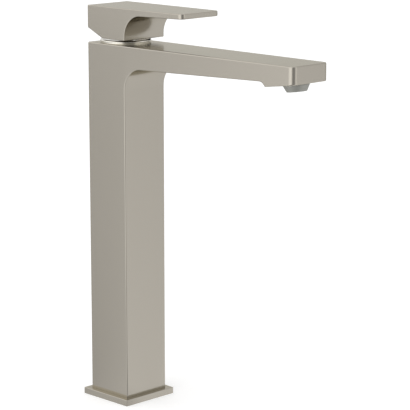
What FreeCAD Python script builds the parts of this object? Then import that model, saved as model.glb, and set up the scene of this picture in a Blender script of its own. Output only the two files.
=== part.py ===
import FreeCAD, Part

import math
import os

from FreeCAD import Vector

# Tall single-lever basin mixer with a square column, a slim tapering spout and a flat lever.
# Millimetres. Z is up, the deck is z = 0, the column's axis is x = 0, y = 0 and the spout points to -Y.
# The body is one hollow casting. Water enters the inlet block at the foot, climbs two riser tubes to the
# ceramic-disc cartridge, leaves the cartridge sideways into the chamber round it and runs along the spout to
# the aerator. The lever turns the cartridge's turret for temperature and tilts its stem for flow.

# ---------------------------------------------------------------- column, spout and deck plate
column_width = 42.0
column_wall = 2.6
inner_corner_round = 3.0
body_top_z = 285.5
body_edge_round = 1.0

spout_reach = 194.0  # column axis to the tip
spout_tip_width = 38.0
spout_root_depth = 17.7  # height of the spout where it leaves the column
spout_rise_deg = 1.75  # the underside climbs towards the tip
spout_wall = 2.4
spout_throat_round = 17.0  # concave corner under the spout
tip_corner_round = 4.0
taper_blend_round = 400.0  # eases the column's sides into the spout's tapering ones

nose_length = 27.4  # thicker block at the tip that holds the aerator
nose_tip_depth = 13.3
nose_tilt_deg = 7.4
nose_step_run = 2.9
nose_step_round = 5.8

plate_margin = 4.5  # the deck plate shows this much round the column
plate_thickness = 5.0
plate_recess = 1.0  # the column stands this deep in the plate
plate_edge_round = 0.7
plate_bore_radius = 17.0
gasket_inset = 2.7  # from the plate's edge
gasket_width = 3.2
gasket_thickness = 2.0

# ---------------------------------------------------------------- inlet block, risers
block_height = 22.0  # above the column's foot
block_foot_z = 0.5  # the block's lower face stands just clear of the deck
stud_hole_radius = 3.4  # M8
stud_hole_depth = 16.0
inlet_x = 8.5
inlet_y = -4.5
inlet_hole_radius = 4.5  # M10 x 1
inlet_hole_depth = 13.5
riser_radius = 4.0
riser_bore_radius = 3.2
riser_socket_depth = 8.0
seat_socket_depth = 6.0
riser_seal_section = 1.4
block_screw_inset = 4.8  # from the inside of the column's walls
block_screw_radius = 2.0  # M4
block_screw_head_radius = 3.5
block_screw_head_height = 4.0
block_screw_socket_radius = 1.73  # to the corners of a 3 mm hexagon
block_screw_grip = 8.0  # length held in the casting's lugs
lug_height = 12.0

# ---------------------------------------------------------------- cartridge
chamber_bore_radius = 18.5
seat_thickness = 10.0
cartridge_radius = 16.5
manifold_height = 6.0
peg_radius = 1.5
peg_length = 2.5
peg_circle_radius = 12.5
peg_angle_deg = 45.0
port_radius = 2.1
port_x = 5.4
port_y = -5.0
port_seal_section = 1.5
disc_seal_section = 1.0
fixed_disc_radius = 14.0
moving_disc_radius = 10.0
disc_thickness = 3.5
outlet_slot_half_width = 2.4
outlet_slot_front_y = -1.0
outlet_slot_back_y = 4.6
mixing_chamber_half_width = 6.2
mixing_chamber_front_y = -1.8
mixing_chamber_back_y = 7.0
mixing_chamber_depth = 1.8
carrier_height = 5.5
carrier_rim_inset = 0.2
carrier_key_radius = 1.2
carrier_key_height = 1.0
shell_wall = 1.3
shell_flange_height = 3.5
shell_neck_wall = 2.0
shell_neck_height = 6.0
shell_seal_section = 1.5
turret_flange_height = 2.7
turret_radius = 11.5
turret_rise = 0.8  # the turret's top stands above the shell's neck
turret_slot_half_length = 9.3
pin_radius = 1.5
pin_end_inset = 0.5
pivot_depth = 2.8  # stem's pivot below the turret's top
stem_arm = 12.0  # pivot to the centre of the ball that moves the disc
stem_ball_radius = 3.0
stem_leg_radius = 2.4
stem_square = 8.0
stem_height = 21.5  # pivot to the spindle's top

nut_height = 3.8
nut_slot_width = 3.0
nut_slot_depth = 1.6
nut_neck_radius = 15.5
limit_ring_inset = 0.4
limit_ring_height = 1.1

trim_inset = 1.0  # from the column's sides
trim_height = 1.9  # shows above the column's top
trim_edge_chamfer = 0.8
trim_mouth_radius = 14.2
trim_lip_height = 1.0
trim_skirt_depth = 1.8
trim_seal_section = 1.1

# ---------------------------------------------------------------- lever handle
handle_gap = 1.9  # between the trim ring and the handle
handle_height = 24.9
handle_wall = 2.0
handle_edge_round = 1.0
lever_reach = 83.0
lever_tip_width = 40.0
lever_tip_thickness = 4.0
lever_root_thickness = 5.4
lever_throat_round = 17.0
heel_rise = 7.4  # height of the sloping part of the handle's back
heel_slope_deg = 23.9  # lies level over the column when the lever is fully up
hub_radius = 9.0
hub_clearance = 6.7  # over the turret, which the hub swings above
hub_roof = 1.5  # metal between the spindle's top and the handle's hollow
screw_boss_radius = 4.5
set_screw_radius = 2.5  # M5
set_screw_length = 10.0
set_screw_socket_radius = 1.4
set_screw_drop = 3.5  # below the spindle's top
cap_radius = 2.8
cap_depth = 2.4
cap_proud = 0.3

# ---------------------------------------------------------------- aerator
aerator_setback = 14.2  # spout tip to the aerator's centre
aerator_thread_radius = 8.4
aerator_thread_length = 3.9
aerator_wall = 1.95
aerator_washer_thickness = 1.0
aerator_washer_width = 2.35
aerator_ledge_width = 1.8
aerator_ledge_thickness = 1.1
aerator_shoulder = 1.0
aerator_mouth_radius = 6.9
aerator_mouth_round = 0.5
aerator_lip_height = 0.9
aerator_drop = 5.3
aerator_outlet_inset = 0.8
aerator_outlet_lip = 0.9
core_hole_radius = 0.8
core_hole_ring = 3.9
core_hole_count = 10
screen_thickness = 0.8
screen_hole_radius = 0.6
screen_hole_pitch = 1.7
regulator_thickness = 2.2
regulator_bore_radius = 1.6
regulator_bore_x = 3.2

# ---------------------------------------------------------------- fits
slip = 0.05  # radial clearance of threads, sockets and pins
seat_clearance = 0.15  # square and flat pieces that drop into place
seal_clearance = 0.05
running_gap = 0.1
disc_gap = 0.02  # water film between the ceramic faces
turret_gap = 0.3  # between the disc carrier and the turret

# ---------------------------------------------------------------- worked-out places
half = column_width / 2
inner_half = half - column_wall
column_foot_z = plate_thickness - plate_recess
spout_floor_z = body_top_z - spout_root_depth
spout_rise = math.tan(math.radians(spout_rise_deg))
nose_rise = math.tan(math.radians(nose_tilt_deg))
nose_tip_z = body_top_z - nose_tip_depth
nose_back_y = nose_length - spout_reach
nose_back_z = nose_tip_z - nose_rise * nose_length
nose_roof = aerator_thread_length + aerator_washer_thickness + aerator_ledge_thickness
gasket_outer_radius = half + plate_margin - gasket_inset
gasket_inner_radius = gasket_outer_radius - gasket_width
block_top_z = column_foot_z + block_height
block_screw_xy = inner_half - block_screw_inset

# The cartridge's neck ends level with the column's top, and the stack hangs down from there.
shell_neck_z = body_top_z - shell_neck_height
shell_flange_z = shell_neck_z - shell_flange_height
turret_z = shell_flange_z - turret_flange_height
carrier_top_z = turret_z - turret_gap
carrier_z = carrier_top_z - carrier_height
moving_disc_z = carrier_z - disc_thickness
disc_z = moving_disc_z - disc_gap - disc_thickness
seat_z = disc_z - manifold_height
seat_floor_z = seat_z - seat_thickness
peg_x = peg_circle_radius * math.cos(math.radians(peg_angle_deg))
peg_y = peg_circle_radius * math.sin(math.radians(peg_angle_deg))
port_seal_inner = riser_bore_radius + 3 * seal_clearance
disc_seal_inner = port_radius + 3 * seal_clearance
shell_inner_radius = cartridge_radius - shell_wall
shell_neck_radius = turret_radius + running_gap + shell_neck_wall
shell_seal_inner = chamber_bore_radius - seal_clearance - shell_seal_section
shell_groove_z = shell_flange_z + (shell_flange_height - shell_seal_section) / 2
turret_top_z = body_top_z + turret_rise
stem_pivot_z = turret_top_z - pivot_depth
stem_ball_z = stem_pivot_z - stem_arm
stem_top_z = stem_pivot_z + stem_height

trim_radius = half - trim_inset
trim_top_z = body_top_z + trim_height
trim_seal_inner = chamber_bore_radius - seal_clearance - trim_seal_section
trim_groove_z = body_top_z - (trim_skirt_depth + trim_seal_section) / 2
nut_z = shell_neck_z + running_gap
nut_top_z = nut_z + nut_height
nut_neck_top_z = trim_top_z - trim_lip_height - 2 * running_gap

handle_foot_z = trim_top_z + handle_gap
handle_top_z = handle_foot_z + handle_height
hub_foot_z = turret_top_z + hub_clearance
handle_ceiling_z = stem_top_z + hub_roof
set_screw_z = stem_top_z - set_screw_drop

core_radius = aerator_thread_radius - aerator_wall - slip
aerator_floor_z = aerator_outlet_lip - aerator_drop


def underside_z(y):
    """Height of the spout's underside, which climbs from the column to the nose."""
    return spout_floor_z - spout_rise * (y + half)


# ================================================================ drawing helpers
def cylinder(radius, z0, z1, x=0.0, y=0.0):
    return Part.makeCylinder(radius, z1 - z0, Vector(x, y, z0))


def ring(outer, inner, z0, z1, x=0.0, y=0.0):
    return cylinder(outer, z0, z1, x, y).cut(cylinder(inner, z0, z1, x, y))


def box(x0, x1, y0, y1, z0, z1):
    return Part.makeBox(x1 - x0, y1 - y0, z1 - z0, Vector(x0, y0, z0))


def seal(inner_radius, section, z, x=0.0, y=0.0):
    """O-ring of round section, resting at height z."""
    return Part.makeTorus(inner_radius + section / 2, section / 2, Vector(x, y, z + section / 2))


def outline(corners, place):
    """Closed wire through rounded corners (u, v, radius); place(u, v) gives a point in space."""
    count = len(corners)
    starts, ends, middles = [], [], []
    for i, (u, v, radius) in enumerate(corners):
        before, after = corners[i - 1], corners[(i + 1) % count]
        to_before = Vector(before[0] - u, before[1] - v, 0).normalize()
        to_after = Vector(after[0] - u, after[1] - v, 0).normalize()
        corner = Vector(u, v, 0)
        if radius == 0:
            starts.append(corner)
            ends.append(corner)
            middles.append(None)
            continue
        half_angle = to_before.getAngle(to_after) / 2
        tangent = radius / math.tan(half_angle)
        inward = (to_before + to_after).normalize()
        centre = corner + inward * (radius / math.sin(half_angle))
        starts.append(corner + to_before * tangent)
        ends.append(corner + to_after * tangent)
        middles.append(centre - inward * radius)
    edges = []
    for i in range(count):
        if middles[i] is not None:
            points = [place(p.x, p.y) for p in (starts[i], middles[i], ends[i])]
            edges.append(Part.Arc(*points).toShape())
        following = starts[(i + 1) % count]
        edges.append(Part.makeLine(place(ends[i].x, ends[i].y), place(following.x, following.y)))
    return Part.Wire(edges)


def side_prism(corners, half_width):
    """Solid with the outline (y, z, radius) seen from the side, as wide as 2 * half_width."""
    wire = outline(corners, lambda y, z: Vector(-half_width, y, z))
    return Part.Face(wire).extrude(Vector(2 * half_width, 0, 0))


def plan_prism(corners, z0, z1):
    """Solid with the outline (x, y, radius) seen from above."""
    wire = outline(corners, lambda x, y: Vector(x, y, z0))
    return Part.Face(wire).extrude(Vector(0, 0, z1 - z0))


def square_prism(half_side, corner, z0, z1):
    corners = [(sx * half_side, sy * half_side, corner) for sx, sy in ((1, 1), (-1, 1), (-1, -1), (1, -1))]
    return plan_prism(corners, z0, z1)


def tapering_plan(reach, tip_width, z0, z1):
    """Square footprint that runs out to a narrower tip with rounded corners."""
    tip = tip_width / 2
    right = [(half, half, 0), (half, -half, taper_blend_round), (tip, -reach, tip_corner_round)]
    left = [(-x, y, radius) for x, y, radius in reversed(right)]
    return plan_prism(right + left, z0, z1)


def round_edges(solid, radius, lowest_z):
    """Rounds every sharp edge that reaches above lowest_z."""
    chosen = []
    for edge in solid.Edges:
        faces = solid.ancestorsOfType(edge, Part.Face)
        if len(faces) != 2 or edge.BoundBox.ZMax < lowest_z:
            continue
        middle = edge.valueAt((edge.FirstParameter + edge.LastParameter) / 2)
        normals = [face.normalAt(*face.Surface.parameter(middle)) for face in faces]
        if normals[0].getAngle(normals[1]) > math.radians(8):
            chosen.append(edge)
    return solid.makeFillet(radius, chosen)


def turned(profile):
    """Solid of revolution about Z from (radius, z) points."""
    points = [Vector(r, 0, z) for r, z in profile]
    face = Part.Face(Part.makePolygon(points + [points[0]]))
    return face.revolve(Vector(0, 0, 0), Vector(0, 0, 1), 360)


def fuse(first, *others):
    return first.fuse(list(others)).removeSplitter()


def cut(first, *others):
    return first.cut(list(others))


# ================================================================ body casting
def body_outside():
    step_top_y = nose_back_y + nose_step_run
    side = side_prism(
        [
            (half, column_foot_z, 0),
            (half, body_top_z, 0),
            (-spout_reach, body_top_z, 0),
            (-spout_reach, nose_tip_z, 0),
            (nose_back_y, nose_back_z, 0),
            (step_top_y, underside_z(step_top_y), nose_step_round),
            (-half, spout_floor_z, spout_throat_round),
            (-half, column_foot_z, 0),
        ],
        column_width,
    )
    plan = tapering_plan(spout_reach, spout_tip_width, column_foot_z, body_top_z)
    solid = side.common(plan).removeSplitter()
    return round_edges(solid, body_edge_round, column_foot_z + body_edge_round)


def spout_channel():
    """Waterway from the cartridge chamber to the aerator, one wall inside the spout."""
    top = body_top_z - spout_wall
    root_y = -half - spout_wall
    front_y = spout_wall - spout_reach
    nose_floor_front = nose_tip_z + nose_roof
    nose_floor_back = nose_floor_front - nose_rise * (nose_length - spout_wall)
    side = side_prism(
        [
            (root_y, top, 0),
            (front_y, top, 0),
            (front_y, nose_floor_front, 0),
            (nose_back_y, nose_floor_back, 0),
            (nose_back_y + 2 * nose_step_run, underside_z(nose_back_y + 2 * nose_step_run) + spout_wall, 0),
            (root_y, underside_z(root_y) + spout_wall, 0),
        ],
        column_width,
    )
    tip = spout_tip_width / 2 - spout_wall
    root = half - spout_wall
    corners = [(root, root_y, 0), (tip, front_y, 1), (-tip, front_y, 1), (-root, root_y, 0)]
    return side.common(plan_prism(corners, spout_floor_z, body_top_z))


def chamber_window():
    """Opening in the chamber's front wall, below the cartridge's seal, that leads to the spout."""
    floor = underside_z(-half) + spout_wall
    front_y = -half - 2 * spout_wall
    return box(-half / 2, half / 2, front_y, -cartridge_radius, floor, shell_flange_z - running_gap)


def seat_ports():
    cuts = []
    for side in (-1, 1):
        x = side * inlet_x
        groove_z = seat_floor_z + seat_socket_depth / 2 - riser_seal_section / 2
        cuts.append(cylinder(riser_bore_radius, seat_floor_z, seat_z, x, inlet_y))
        cuts.append(cylinder(riser_radius + slip, seat_floor_z, seat_floor_z + seat_socket_depth, x, inlet_y))
        cuts.append(seal_groove(groove_z, x))
        cuts.append(cylinder(peg_radius + slip, seat_z - peg_length - slip, seat_z, side * peg_x, peg_y))
    return cuts


def seal_groove(z, x):
    """Groove for a riser's O-ring, a little wider and taller than the ring."""
    outer = riser_radius + slip + riser_seal_section + seal_clearance
    return cylinder(outer, z - seal_clearance, z + riser_seal_section + seal_clearance, x, inlet_y)


def corner_places():
    return [(sx * block_screw_xy, sy * block_screw_xy) for sx in (-1, 1) for sy in (-1, 1)]


def casting_lug(x, y):
    """Pad in a corner of the column that one block screw bites into."""
    reach = block_screw_head_radius + seat_clearance
    x_in, y_in = abs(x) - reach, abs(y) - reach
    wall = inner_half + column_wall / 2
    x0, x1 = sorted((math.copysign(x_in, x), math.copysign(wall, x)))
    y0, y1 = sorted((math.copysign(y_in, y), math.copysign(wall, y)))
    return box(x0, x1, y0, y1, block_top_z, block_top_z + lug_height)


def nose_frame(solid):
    """Moves a piece drawn on +Z, with z = 0 on the nose's lower face, to the aerator's tilted place."""
    y = aerator_setback - spout_reach
    z = nose_tip_z - nose_rise * aerator_setback
    placed = solid.copy()
    placed.rotate(Vector(0, 0, 0), Vector(1, 0, 0), -nose_tilt_deg)
    placed.translate(Vector(0, y, z))
    return placed


def aerator_bore():
    depth = aerator_thread_length + aerator_washer_thickness
    thread = cylinder(aerator_thread_radius + slip, -nose_roof, depth)
    ledge = cylinder(aerator_thread_radius - aerator_ledge_width, 0, nose_roof + spout_wall)
    return nose_frame(thread.fuse(ledge))


def body_casting():
    body = body_outside()
    lugs = [casting_lug(x, y) for x, y in corner_places()]
    cavity = square_prism(inner_half, inner_corner_round, column_foot_z, seat_floor_z).cut(lugs)
    screw_depth = block_top_z + block_screw_grip + 1
    tapped = [cylinder(block_screw_radius + slip, block_top_z, screw_depth, x, y) for x, y in corner_places()]
    chamber = cylinder(chamber_bore_radius, seat_z, body_top_z)
    waterways = [chamber, spout_channel(), chamber_window(), aerator_bore(), *seat_ports()]
    return cut(body, cavity, *tapped, *waterways)


# ================================================================ deck plate, inlet block and risers
def base_plate():
    plate = square_prism(half + plate_margin, plate_edge_round, 0, plate_thickness)
    plate = round_edges(plate, plate_edge_round, plate_thickness)
    recess = square_prism(half + seat_clearance, body_edge_round, column_foot_z, plate_thickness)
    outer = gasket_outer_radius + seal_clearance
    groove = ring(outer, gasket_inner_radius - seal_clearance, 0, gasket_thickness)
    return cut(plate, recess, groove, cylinder(plate_bore_radius, 0, plate_thickness))


def base_gasket():
    return ring(gasket_outer_radius, gasket_inner_radius, 0, gasket_thickness)


def inlet_block():
    upper = square_prism(inner_half - seat_clearance, inner_corner_round, column_foot_z, block_top_z)
    block = fuse(upper, cylinder(plate_bore_radius - seat_clearance, block_foot_z, column_foot_z))
    cuts = [cylinder(stud_hole_radius, block_foot_z, block_foot_z + stud_hole_depth)]
    socket_z = block_top_z - riser_socket_depth
    for side in (-1, 1):
        x = side * inlet_x
        cuts.append(cylinder(inlet_hole_radius, block_foot_z, block_foot_z + inlet_hole_depth, x, inlet_y))
        cuts.append(cylinder(riser_bore_radius, block_foot_z, block_top_z, x, inlet_y))
        cuts.append(cylinder(riser_radius + slip, socket_z, block_top_z, x, inlet_y))
        cuts.append(seal_groove(block_top_z - riser_socket_depth / 2, x))
    head_top = column_foot_z + block_screw_head_height + seat_clearance
    for x, y in corner_places():
        cuts.append(cylinder(block_screw_radius + seat_clearance, column_foot_z, block_top_z, x, y))
        cuts.append(cylinder(block_screw_head_radius + seat_clearance, column_foot_z, head_top, x, y))
    return cut(block, *cuts)


def block_screws():
    """Four cap screws that hold the inlet block up inside the column."""
    screws = []
    head_z = column_foot_z + seat_clearance
    head_top = head_z + block_screw_head_height
    for x, y in corner_places():
        head = cylinder(block_screw_head_radius, head_z, head_top, x, y)
        shank = cylinder(block_screw_radius, head_top, block_top_z + block_screw_grip, x, y)
        socket = hexagon(block_screw_socket_radius, head_z, head_z + block_screw_head_height / 2, x, y)
        screws.append(fuse(head, shank).cut(socket))
    return screws


def hexagon(radius, z0, z1, x=0.0, y=0.0):
    """Six-sided prism; radius is to its corners."""
    angles = [math.radians(60 * i) for i in range(6)]
    return plan_prism([(x + radius * math.cos(a), y + radius * math.sin(a), 0) for a in angles], z0, z1)


def riser(side):
    z0 = block_top_z - riser_socket_depth + running_gap
    z1 = seat_floor_z + seat_socket_depth - running_gap
    return ring(riser_radius, riser_bore_radius, z0, z1, side * inlet_x, inlet_y)


def riser_seals():
    lower = block_top_z - riser_socket_depth / 2
    upper = seat_floor_z + seat_socket_depth / 2 - riser_seal_section / 2
    places = [(side * inlet_x, z) for side in (-1, 1) for z in (lower, upper)]
    return [seal(riser_radius + slip, riser_seal_section, z, x, inlet_y) for x, z in places]


# ================================================================ cartridge
def rounded_slot(half_width, front_y, back_y, z0, z1):
    corner = half_width / 3
    corners = [
        (half_width, back_y, corner),
        (-half_width, back_y, corner),
        (-half_width, front_y, corner),
        (half_width, front_y, corner),
    ]
    return plan_prism(corners, z0, z1)


def cartridge_manifold():
    """Plastic foot of the cartridge: hot and cold come in below, mixed water goes out at the back."""
    body = cylinder(cartridge_radius, seat_z, disc_z)
    pegs = [cylinder(peg_radius, seat_z - peg_length, seat_z, side * peg_x, peg_y) for side in (-1, 1)]
    cuts = []
    mid_z = seat_z + manifold_height * 0.6
    for side in (-1, 1):
        x = side * inlet_x
        cuts.append(cylinder(riser_bore_radius, seat_z, mid_z, x, inlet_y))
        cuts.append(cylinder(port_radius, seat_z + manifold_height / 3, disc_z, side * port_x, port_y))
        seal_outer = port_seal_inner + port_seal_section + seal_clearance
        cuts.append(cylinder(seal_outer, seat_z, seat_z + port_seal_section, x, inlet_y))
        seal_outer = disc_seal_inner + disc_seal_section + seal_clearance
        cuts.append(cylinder(seal_outer, disc_z - disc_seal_section, disc_z, side * port_x, port_y))
    outlet_z = seat_z + manifold_height / 2
    width = outlet_slot_half_width
    cuts.append(box(-width, width, outlet_slot_front_y, cartridge_radius + 1, outlet_z, disc_z))
    return cut(fuse(body, *pegs), *cuts)


def port_seals():
    return [seal(port_seal_inner, port_seal_section, seat_z, side * inlet_x, inlet_y) for side in (-1, 1)]


def disc_seals():
    z = disc_z - disc_seal_section
    return [seal(disc_seal_inner, disc_seal_section, z, side * port_x, port_y) for side in (-1, 1)]


def fixed_disc():
    disc = cylinder(fixed_disc_radius, disc_z, disc_z + disc_thickness)
    ports = [cylinder(port_radius, disc_z, moving_disc_z, side * port_x, port_y) for side in (-1, 1)]
    front, back = outlet_slot_front_y, outlet_slot_back_y
    outlet = rounded_slot(outlet_slot_half_width, front, back, disc_z, moving_disc_z)
    return cut(disc, outlet, *ports)


def moving_disc():
    disc = cylinder(moving_disc_radius, moving_disc_z, carrier_z)
    pocket = rounded_slot(
        mixing_chamber_half_width,
        mixing_chamber_front_y,
        mixing_chamber_back_y,
        moving_disc_z,
        moving_disc_z + mixing_chamber_depth,
    )
    return cut(disc, pocket, *carrier_keys(slip))


def carrier_keys(extra):
    """Two pegs under the carrier that drive the moving disc."""
    z0 = carrier_z - carrier_key_height
    x = (stem_ball_radius + moving_disc_radius) / 2
    return [cylinder(carrier_key_radius + extra, z0 - extra, carrier_z, side * x, 0) for side in (-1, 1)]


def disc_carrier():
    rim = moving_disc_radius - carrier_rim_inset
    body = fuse(cylinder(rim, carrier_z, carrier_top_z), *carrier_keys(0))
    pocket_z = stem_ball_z - stem_ball_radius - running_gap
    return cut(body, cylinder(stem_ball_radius + 3 * running_gap, pocket_z, carrier_top_z))


def cartridge_shell():
    """Plastic housing: a skirt over the discs, a flange that the nut clamps and a neck round the turret."""
    skirt = cylinder(cartridge_radius, disc_z, shell_flange_z)
    flange = cylinder(chamber_bore_radius - seat_clearance, shell_flange_z, shell_neck_z)
    neck = cylinder(shell_neck_radius, shell_neck_z, body_top_z)
    groove_top_z = shell_groove_z + shell_seal_section + seal_clearance
    groove_radius = shell_seal_inner - seal_clearance
    groove = ring(chamber_bore_radius, groove_radius, shell_groove_z - seal_clearance, groove_top_z)
    inside = cylinder(shell_inner_radius, disc_z, shell_flange_z + running_gap)
    bore = cylinder(turret_radius + running_gap, disc_z, body_top_z)
    return cut(fuse(skirt, flange, neck), groove, inside, bore)


def shell_seal():
    return seal(shell_seal_inner, shell_seal_section, shell_groove_z)


def turret():
    """Turns with the lever; its slot lets the stem tilt on the pin."""
    flange = cylinder(shell_inner_radius - 2 * running_gap, turret_z, shell_flange_z)
    hub = cylinder(turret_radius, shell_flange_z, turret_top_z)
    width = stem_square / 2 + running_gap
    length = turret_slot_half_length
    slot = box(-width, width, -length, length, turret_z, turret_top_z)
    return cut(fuse(flange, hub), slot, along_x(pin_radius + slip, half))


def along_x(radius, half_length):
    """Cylinder on the stem's pivot."""
    start = Vector(-half_length, 0, stem_pivot_z)
    return Part.makeCylinder(radius, 2 * half_length, start, Vector(1, 0, 0))


def stem_pin():
    return along_x(pin_radius, turret_radius - pin_end_inset)


def stem():
    """Square spindle that rocks on the pin, with a leg and ball below that slide the ceramic disc."""
    side = stem_square / 2
    spindle = box(-side, side, -side, side, stem_pivot_z - side, stem_top_z)
    leg = cylinder(stem_leg_radius, stem_ball_z, stem_pivot_z)
    ball = Part.makeSphere(stem_ball_radius, Vector(0, 0, stem_ball_z))
    return fuse(spindle, leg, ball).cut(along_x(pin_radius + slip, half))


def cartridge_nut():
    """Slotted brass nut that clamps the cartridge; the trim ring screws onto its neck."""
    nut = cylinder(chamber_bore_radius - slip, nut_z, nut_top_z)
    neck = cylinder(nut_neck_radius, nut_top_z, nut_neck_top_z)
    slots = []
    for angle in range(0, 180, 45):
        side = nut_slot_width / 2
        slot = box(-half, half, -side, side, nut_neck_top_z - nut_slot_depth, nut_neck_top_z)
        slot.rotate(Vector(0, 0, 0), Vector(0, 0, 1), angle)
        slots.append(slot)
    bore = cylinder(shell_neck_radius + seat_clearance, nut_z, nut_neck_top_z)
    return cut(fuse(nut, neck), bore, *slots)


def limit_ring():
    """Notched ring on the shell's neck that limits how far the lever turns to hot."""
    outer = shell_neck_radius - limit_ring_inset
    body = ring(outer, turret_radius + running_gap, body_top_z, body_top_z + limit_ring_height)
    notch = box(-half, half, turret_radius - 1, half, body_top_z + limit_ring_height / 2, trim_top_z)
    return body.cut(notch)


def trim_ring():
    """Bright ring that covers the nut and shows between the column and the handle."""
    neck = nut_neck_radius + slip
    skirt = chamber_bore_radius - 2 * seat_clearance
    skirt_z = body_top_z - trim_skirt_depth
    groove = trim_seal_inner - seal_clearance
    groove_foot_z = trim_groove_z - seal_clearance
    groove_top_z = trim_groove_z + trim_seal_section + seal_clearance
    return turned(
        [
            (neck, skirt_z),
            (skirt, skirt_z),
            (skirt, groove_foot_z),
            (groove, groove_foot_z),
            (groove, groove_top_z),
            (skirt, groove_top_z),
            (skirt, body_top_z),
            (trim_radius, body_top_z),
            (trim_radius, trim_top_z - trim_edge_chamfer),
            (trim_radius - trim_edge_chamfer, trim_top_z),
            (trim_mouth_radius, trim_top_z),
            (trim_mouth_radius, trim_top_z - trim_lip_height),
            (neck, trim_top_z - trim_lip_height),
        ]
    )


def trim_seal():
    return seal(trim_seal_inner, trim_seal_section, trim_groove_z)


# ================================================================ lever handle
def handle_outside():
    heel_y = half - heel_rise / math.tan(math.radians(heel_slope_deg))
    side = side_prism(
        [
            (half, handle_top_z, 0),
            (-lever_reach, handle_top_z, 0),
            (-lever_reach, handle_top_z - lever_tip_thickness, 0),
            (-half, handle_top_z - lever_root_thickness, lever_throat_round),
            (-half, handle_foot_z, 0),
            (heel_y, handle_foot_z, 0),
            (half, handle_foot_z + heel_rise, 0),
        ],
        column_width,
    )
    plan = tapering_plan(lever_reach, lever_tip_width, handle_foot_z, handle_top_z)
    return round_edges(side.common(plan).removeSplitter(), handle_edge_round, handle_foot_z)


def along_y(radius, y0, y1, z):
    return Part.makeCylinder(radius, y1 - y0, Vector(0, y0, z), Vector(0, 1, 0))


def handle():
    ceiling = handle_ceiling_z
    inside = half - handle_wall
    hollow = square_prism(inside, inner_corner_round, handle_foot_z - half, ceiling)
    hub = cylinder(hub_radius, hub_foot_z, ceiling)
    boss = along_y(screw_boss_radius, 0, inside, set_screw_z)
    web = box(-screw_boss_radius, screw_boss_radius, 0, inside, set_screw_z, ceiling)
    hollow = hollow.cut([hub, boss, web])
    side = stem_square / 2 + slip
    socket = box(-side, side, -side, side, handle_foot_z, stem_top_z + seat_clearance)
    screw_hole = along_y(set_screw_radius + slip, 0, half + 1, set_screw_z)
    cap_hole = along_y(cap_radius + slip, half - cap_depth, half + 1, set_screw_z)
    return cut(handle_outside(), hollow, socket, screw_hole, cap_hole)


def set_screw():
    y0 = stem_square / 2
    screw = along_y(set_screw_radius, y0, y0 + set_screw_length, set_screw_z)
    socket = along_y(set_screw_socket_radius, y0 + set_screw_length / 2, y0 + set_screw_length, set_screw_z)
    return screw.cut(socket)


def screw_cap():
    """Plain plug that hides the set screw at the back of the handle."""
    y0 = half - cap_depth
    body = along_y(cap_radius, y0, half + cap_proud, set_screw_z)
    outer = [edge for edge in body.Edges if edge.BoundBox.YMin > half]
    return body.makeFillet(cap_proud / 2, outer)


# ================================================================ aerator
def aerator_housing():
    """Conical nozzle that screws into the nose, drawn on +Z with z = 0 on the nose's lower face."""
    inner = core_radius + slip
    outlet = core_radius - aerator_outlet_inset
    skirt = aerator_thread_radius + aerator_shoulder
    nozzle = turned(
        [
            (inner, aerator_floor_z),
            (outlet, aerator_floor_z),
            (outlet, -aerator_drop),
            (aerator_mouth_radius, -aerator_drop),
            (skirt, -aerator_lip_height),
            (skirt, 0),
            (aerator_thread_radius, 0),
            (aerator_thread_radius, aerator_thread_length),
            (inner, aerator_thread_length),
        ]
    )
    rim = [edge for edge in nozzle.Edges if edge.BoundBox.ZMax < -aerator_drop + aerator_mouth_round / 2]
    return nose_frame(nozzle.makeFillet(aerator_mouth_round, rim))


def aerator_washer():
    z0 = aerator_thread_length
    bore = aerator_thread_radius - slip - aerator_washer_width
    return nose_frame(ring(aerator_thread_radius - slip, bore, z0, z0 + aerator_washer_thickness))


def flow_regulator():
    """Rubber-faced disc that keeps the flow steady as the supply pressure changes."""
    z1 = aerator_thread_length
    disc = cylinder(core_radius, z1 - regulator_thickness, z1)
    bores = [cylinder(regulator_bore_radius, 0, z1, side * regulator_bore_x) for side in (-1, 1)]
    return nose_frame(cut(disc, *bores))


def aerator_core():
    """Plastic insert whose ring of jets draws air into the water."""
    z0 = aerator_floor_z + screen_thickness
    z1 = aerator_thread_length - regulator_thickness
    jets = []
    for i in range(core_hole_count):
        angle = 2 * math.pi * i / core_hole_count
        x = core_hole_ring * math.cos(angle)
        y = core_hole_ring * math.sin(angle)
        jets.append(cylinder(core_hole_radius, z0, z1, x, y))
    return nose_frame(cut(cylinder(core_radius, z0, z1), *jets))


def aerator_screen():
    """Perforated disc across the outlet, its holes on a triangular grid."""
    z0 = aerator_floor_z
    z1 = z0 + screen_thickness
    edge = core_radius - aerator_outlet_inset - screen_hole_radius
    rows = int(edge / screen_hole_pitch) + 1
    holes = []
    for row in range(-rows, rows + 1):
        for column in range(-rows, rows + 1):
            x = screen_hole_pitch * (column + row / 2)
            y = screen_hole_pitch * row * math.sin(math.radians(60))
            if math.hypot(x, y) < edge:
                holes.append(cylinder(screen_hole_radius, z0, z1, x, y))
    return nose_frame(cut(cylinder(core_radius, z0, z1), *holes))


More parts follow.
